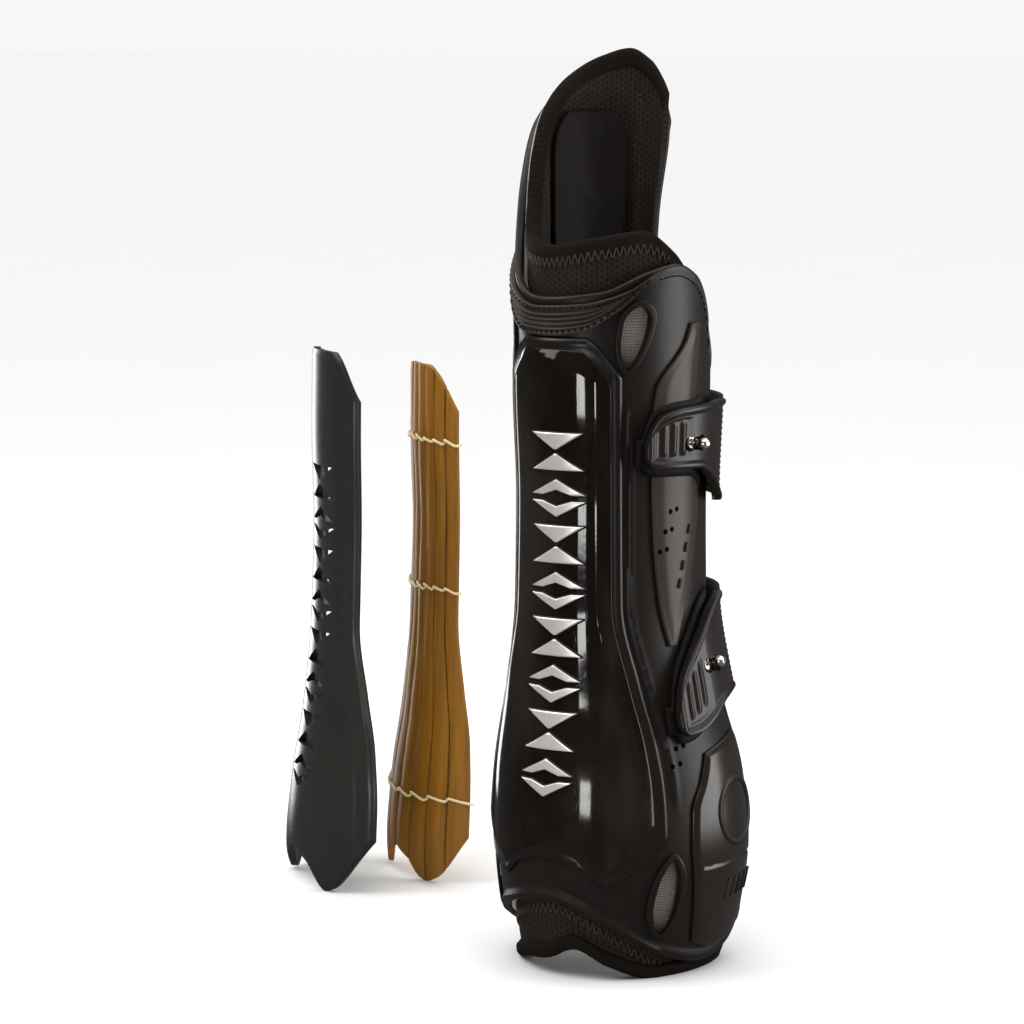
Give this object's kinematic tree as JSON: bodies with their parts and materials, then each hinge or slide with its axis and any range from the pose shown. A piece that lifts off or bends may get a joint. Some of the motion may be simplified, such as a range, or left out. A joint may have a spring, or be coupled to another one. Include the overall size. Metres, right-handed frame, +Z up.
{
  "type": "horse tendon boot",
  "caption": "Open-fronted horse tendon boot with moulded shell, padded lining, glossy back plate and two stud-and-tab straps, with its loose bamboo and moulded shield layers beside it.",
  "frame": {"origin": "on the surface the boot stands on, under the middle of the box round the boot and the two loose layers", "axes": "+Z up the leg, -Y towards the back of the leg where the tendon plate is, +X towards the outer side where the strap tabs fasten"},
  "size_m": [0.2304, 0.1325, 0.3284],
  "materials": {
    "shell": "satin moulded rubber",
    "gloss_plate": "high gloss",
    "wing_gloss": "gloss",
    "ring_dark": "matt",
    "silver": "brushed silver",
    "foam": "cut foam edge",
    "neoprene": "neoprene with a nylon face",
    "binding": "knitted edge binding",
    "mesh": "open mesh",
    "stud_metal": "polished steel",
    "elastic": "woven elastic",
    "tab_rubber": "gloss moulded rubber",
    "core": "moulded, semi gloss",
    "bamboo": "satin bamboo",
    "lace": "twisted cotton cord"
  },
  "bodies": {
    "boot": {"outer_shell": "shell", "shock_foam": "foam", "lining": "neoprene", "collar_binding": "binding", "hem_binding": "binding", "inner_pad": "neoprene", "strike_plate": "gloss_plate", "plate_border": "gloss_plate", "silver_inlay": "silver", "flex_band": "shell", "outer_wing_panel": "wing_gloss", "fetlock_cup": "wing_gloss", "cup_ring": "ring_dark", "vent_outer_upper_mesh": "mesh", "vent_outer_upper_rim": "shell", "vent_inner_upper_mesh": "mesh", "vent_inner_upper_rim": "shell", "vent_outer_lower_mesh": "mesh", "vent_outer_lower_rim": "shell", "vent_inner_lower_mesh": "mesh", "vent_inner_lower_rim": "shell", "upper_stud_pad": "shell", "upper_stud": "stud_metal", "upper_anchor": "elastic", "lower_stud_pad": "shell", "lower_stud": "stud_metal", "lower_anchor": "elastic"},
    "upper_strap": {"upper_elastic": "elastic"},
    "upper_tab": {"upper_tab": "tab_rubber"},
    "lower_strap": {"lower_elastic": "elastic"},
    "lower_tab": {"lower_tab": "tab_rubber"},
    "shield_core": {"shield_core": "core"},
    "bamboo_shield": {"bamboo_slat_1": "bamboo", "bamboo_slat_2": "bamboo", "bamboo_slat_3": "bamboo", "bamboo_slat_4": "bamboo", "bamboo_slat_5": "bamboo", "bamboo_slat_6": "bamboo", "bamboo_slat_7": "bamboo", "bamboo_slat_8": "bamboo", "lacing_1": "lace", "lacing_2": "lace", "lacing_3": "lace"}
  },
  "joints": [
    {"name": "upper_strap_swing", "type": "hinge", "parent": "boot", "child": "upper_strap", "pos_m": [0.06021, 0.02581, 0.1865], "axis": [-0.0049, 0.0387, 0.9992], "range_deg": [0, 100]},
    {"name": "upper_tab_peel", "type": "hinge", "parent": "upper_strap", "child": "upper_tab", "pos_m": [0.09963, 0.00072, 0.1865], "axis": [0.0261, 0.0154, 0.9995], "range_deg": [0, 75]},
    {"name": "lower_strap_swing", "type": "hinge", "parent": "boot", "child": "lower_strap", "pos_m": [0.06038, 0.02789, 0.1175], "axis": [-0.0075, -0.1298, 0.9915], "range_deg": [0, 100]},
    {"name": "lower_tab_peel", "type": "hinge", "parent": "lower_strap", "child": "lower_tab", "pos_m": [0.10203, 0.00186, 0.1175], "axis": [-0.1352, -0.0681, 0.9885], "range_deg": [0, 75]},
    {"name": "shield_core_lift", "type": "slide", "parent": "boot", "child": "shield_core", "axis": [0, 0, 1], "range_m": [0, 0.16]},
    {"name": "bamboo_shield_lift", "type": "slide", "parent": "boot", "child": "bamboo_shield", "axis": [0, 0, 1], "range_m": [0, 0.16]}
  ]
}
